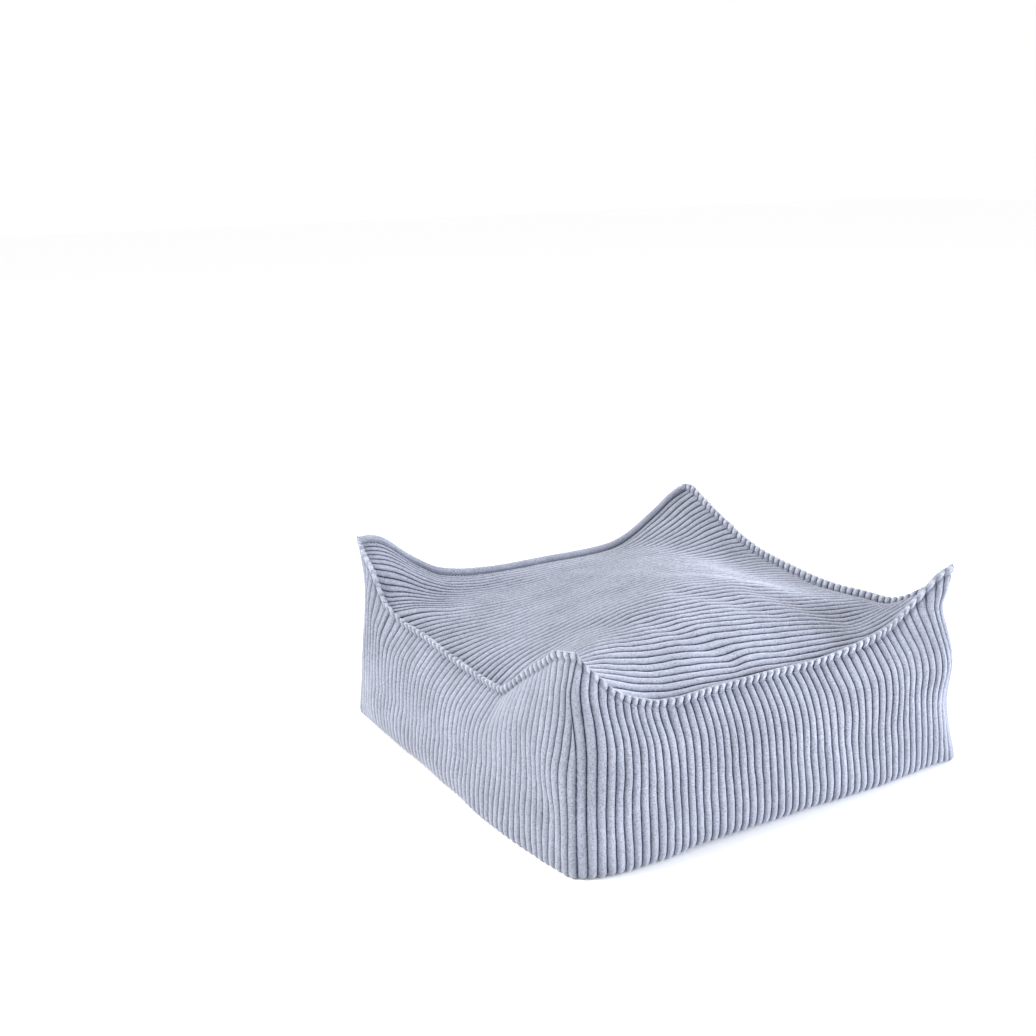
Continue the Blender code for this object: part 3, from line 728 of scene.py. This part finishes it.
def add_piece(name, grids, material):
    """One object from grids of points, each with its pile shade value, which paints shade into the valleys,
    and its own band of the UV square.
    """
    points = []
    pile_shades = []
    faces = []
    spots = []
    offset = 0
    band = 0
    bands = sum(len(grid) for grid, _ in grids)
    left_and_right = (UV_MARGIN, 1.0 - UV_MARGIN)
    foot_and_head = (BAND_MARGIN, 1.0 - BAND_MARGIN)
    for grid, pile_shade in grids:
        rows, columns = grid.shape[:2]
        order = np.arange(rows * columns).reshape(rows, columns) + offset
        quads = np.stack([order[:-1, :-1], order[:-1, 1:], order[1:, 1:], order[1:, :-1]], -1)
        faces.append(quads.reshape(-1, 4))
        u, v = np.meshgrid(np.linspace(*left_and_right, columns), np.linspace(*foot_and_head, rows))
        spots.append(np.stack([u, (band + v * rows) / bands], -1).reshape(-1, 2))
        points.append(grid.reshape(-1, 3))
        pile_shades.append(np.asarray(pile_shade).reshape(-1))
        offset += rows * columns
        band += rows
    points = np.vstack(points) + PLACE
    faces = np.vstack(faces)
    mesh = bpy.data.meshes.new(name)
    mesh.from_pydata(points.tolist(), [], faces.tolist())
    mesh.attributes.new("pile_shade", "FLOAT", "POINT").data.foreach_set("value", np.concatenate(pile_shades))
    layer = mesh.uv_layers.new(name="OFBake")
    corner = np.empty(len(mesh.loops), np.int32)
    mesh.loops.foreach_get("vertex_index", corner)
    layer.uv.foreach_set("vector", np.vstack(spots)[corner].astype(np.float32).ravel())
    mesh.shade_smooth()
    mesh.materials.append(material)
    piece = bpy.data.objects.new(name, mesh)
    bpy.context.scene.collection.objects.link(piece)
    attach(piece, "root")
    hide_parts(CAD_NODE)


def add_node(tree, kind, **settings):
    """A shader node with some of its properties and inputs set."""
    node = tree.nodes.new(kind)
    for name, value in settings.items():
        if hasattr(node, name):
            setattr(node, name, value)
        else:
            node.inputs[name.replace("_", " ")].default_value = value
    return node


def add_ramp(tree, stops):
    """A colour ramp through places and their colours."""
    ramp = add_node(tree, "ShaderNodeValToRGB")
    elements = ramp.color_ramp.elements
    elements[0].position, elements[0].color = stops[0]
    elements[1].position, elements[1].color = stops[-1]
    for position, colour in stops[1:-1]:
        elements.new(position).color = colour
    return ramp


def corduroy():
    """Cut-pile corduroy: frosted crests, valleys darkened as painted shade, mottled where the pile has been
    brushed.
    """
    material = bpy.data.materials.new("corduroy")
    material.use_nodes = True
    tree = material.node_tree
    shader = tree.nodes["Principled BSDF"]
    shader.inputs["Roughness"].default_value = 0.95
    shader.inputs["Specular IOR Level"].default_value = 0.08
    shader.inputs["Sheen Weight"].default_value = 1.0
    shader.inputs["Sheen Roughness"].default_value = 0.32
    shader.inputs["Sheen Tint"].default_value = (0.88, 0.90, 1.0, 1.0)
    place = add_node(tree, "ShaderNodeTexCoord")
    pile_shade = add_node(tree, "ShaderNodeAttribute", attribute_name="pile_shade")
    speck = add_node(tree, "ShaderNodeTexNoise", Scale=760.0, Detail=2.0, Roughness=0.7)
    tuft = add_node(tree, "ShaderNodeTexNoise", Scale=330.0, Detail=2.0, Roughness=0.6)
    brush = add_node(tree, "ShaderNodeTexNoise", Scale=22.0, Detail=5.0, Roughness=0.65)
    for noise in (speck, tuft, brush):
        tree.links.new(place.outputs["Object"], noise.inputs["Vector"])
    ragged = add_node(tree, "ShaderNodeMath", operation="MULTIPLY_ADD")
    ragged.inputs[1].default_value = RAGGED
    ragged.inputs[2].default_value = -0.5 * RAGGED
    tree.links.new(tuft.outputs["Fac"], ragged.inputs[0])
    depth = add_node(tree, "ShaderNodeMath", operation="ADD")
    tree.links.new(pile_shade.outputs["Fac"], depth.inputs[0])
    tree.links.new(ragged.outputs["Value"], depth.inputs[1])
    # The ramp paints shade into the valleys, from the pile shade value
    ramp = add_ramp(tree, PILE_SHADE_STOPS)
    tree.links.new(depth.outputs["Value"], ramp.inputs["Fac"])
    frost = add_node(tree, "ShaderNodeMapRange", From_Min=0.36, From_Max=0.52, To_Min=0.58, To_Max=1.02)
    tree.links.new(speck.outputs["Fac"], frost.inputs["Value"])
    mottle = add_node(tree, "ShaderNodeMapRange", From_Min=0.3, From_Max=0.7, To_Min=0.86, To_Max=1.12)
    tree.links.new(brush.outputs["Fac"], mottle.inputs["Value"])
    shade = add_node(tree, "ShaderNodeMath", operation="MULTIPLY")
    tree.links.new(frost.outputs["Result"], shade.inputs[0])
    tree.links.new(mottle.outputs["Result"], shade.inputs[1])
    tint = add_node(tree, "ShaderNodeVectorMath", operation="SCALE")
    tree.links.new(ramp.outputs["Color"], tint.inputs[0])
    tree.links.new(shade.outputs["Value"], tint.inputs["Scale"])
    tree.links.new(tint.outputs["Vector"], shader.inputs["Base Color"])
    nap = add_node(tree, "ShaderNodeMath", operation="ADD")
    tree.links.new(speck.outputs["Fac"], nap.inputs[0])
    tree.links.new(tuft.outputs["Fac"], nap.inputs[1])
    bump = add_node(tree, "ShaderNodeBump", Strength=0.8, Distance=0.0010)
    tree.links.new(nap.outputs["Value"], bump.inputs["Height"])
    tree.links.new(bump.outputs["Normal"], shader.inputs["Normal"])
    return material


def thread():
    """Twisted sewing thread in the cloth's colour."""
    material = bpy.data.materials.new("thread")
    material.use_nodes = True
    tree = material.node_tree
    shader = tree.nodes["Principled BSDF"]
    shader.inputs["Roughness"].default_value = 0.6
    place = add_node(tree, "ShaderNodeTexCoord")
    twist = add_node(tree, "ShaderNodeTexWave", Scale=900.0, Distortion=1.0)
    twist.bands_direction = "DIAGONAL"
    tree.links.new(place.outputs["Object"], twist.inputs["Vector"])
    ramp = add_ramp(tree, THREAD_STOPS)
    tree.links.new(twist.outputs["Fac"], ramp.inputs["Fac"])
    tree.links.new(ramp.outputs["Color"], shader.inputs["Base Color"])
    return material


def plain(name, colour, roughness):
    """A plain matt material for the studio."""
    material = bpy.data.materials.new(name)
    material.use_nodes = True
    shader = material.node_tree.nodes["Principled BSDF"]
    shader.inputs["Base Color"].default_value = colour
    shader.inputs["Roughness"].default_value = roughness
    return material


# Camera, solved from the corners of the bag in the photograph
CAMERA_TURN = 29.5  # degrees from +Y towards +X
CAMERA_DIP = 14.6  # degrees below level
CAMERA_ROLL = -1.4  # degrees
CAMERA_PLACE = (-0.874, -1.2545, 0.6685)  # about the nominal middle of the bag, metres
CAMERA_LENS = 47.4  # millimetres
CAMERA_SENSOR = 36.0


def add_camera():
    turn, dip, roll = np.radians((CAMERA_TURN, CAMERA_DIP, CAMERA_ROLL))
    ahead = Vector((np.sin(turn) * np.cos(dip), np.cos(turn) * np.cos(dip), -np.sin(dip)))
    level = Vector((np.cos(turn), -np.sin(turn), 0.0))
    above = level.cross(ahead)
    right = level * float(np.cos(roll)) + above * float(np.sin(roll))
    up = above * float(np.cos(roll)) - level * float(np.sin(roll))
    camera = bpy.data.objects.new("camera", bpy.data.cameras.new("camera"))
    camera.data.lens = CAMERA_LENS
    camera.data.sensor_width = CAMERA_SENSOR
    turned = Matrix((right, up, -ahead)).transposed().to_4x4()
    camera.matrix_world = Matrix.Translation(Vector(CAMERA_PLACE) + Vector(PLACE)) @ turned
    bpy.context.scene.collection.objects.link(camera)
    bpy.context.scene.camera = camera


LIGHTS = (  # name, place, size, power, colour
    ("key", (-1.9, 0.5, 2.3), 1.2, 78.0, (1.0, 1.0, 1.0)),
    ("right_fill", (1.7, -1.5, 0.3), 1.0, 88.0, (0.86, 0.92, 1.0)),
)
LIGHT_AIM = (0.0, 0.0, 0.1)
FLOOR_SIZE = 30.0
FLOOR_LEVEL = -0.0005  # just clear of the base
WHITE = (1.0, 1.0, 1.0, 1.0)
FLOOR_WHITE = (0.985, 0.985, 0.985, 1.0)


def add_light(name, place, size, power, colour):
    """A square soft light that looks at the middle of the bag."""
    light = bpy.data.lights.new(name, "AREA")
    light.shape = "SQUARE"
    light.size = size
    light.energy = power
    light.color = colour
    lamp = bpy.data.objects.new(name, light)
    lamp.location = place
    lamp.rotation_euler = (Vector(LIGHT_AIM) - Vector(place)).to_track_quat("-Z", "Y").to_euler()
    bpy.context.scene.collection.objects.link(lamp)


def add_studio():
    """A pale floor, a white surround and soft lights."""
    bpy.ops.mesh.primitive_plane_add(size=FLOOR_SIZE, location=(0.0, 0.0, FLOOR_LEVEL))
    floor = bpy.context.object
    floor.name = "floor"
    floor.data.materials.append(plain("floor_white", FLOOR_WHITE, roughness=0.9))
    world = bpy.data.worlds.new("studio")
    world.use_nodes = True
    world.node_tree.nodes["Background"].inputs["Color"].default_value = WHITE
    world.node_tree.nodes["Background"].inputs["Strength"].default_value = 1.0
    bpy.context.scene.world = world
    for light in LIGHTS:
        add_light(*light)
    bpy.context.scene.view_settings.view_transform = "Standard"


def form_middle():
    """The middle of the form's box on the floor plan, which stands over the origin as the CAD's does."""
    along, rise = np.meshgrid(np.linspace(0.0, 1.0, FORM_COLUMNS), np.linspace(0.0, 1.0, FORM_ROWS))
    points = np.vstack([side_point(side, along, rise).reshape(-1, 3) for side in SIDE_ORDER])
    return 0.5 * (points.min(0) + points.max(0))


PLACE = -form_middle() * (1.0, 1.0, 0.0)

cloth = corduroy()
for side_name in SIDE_ORDER:
    add_piece(side_name + "_panel", [side_grid(side_name)], cloth)
add_piece("top_panel", [top_grid()] + [flange_inside(side_name) for side_name in SIDE_ORDER], cloth)
add_piece("base_panel", [base_grid()], cloth)
add_piece("topstitch_thread", stitch_grids(), thread())
add_camera()
add_studio()
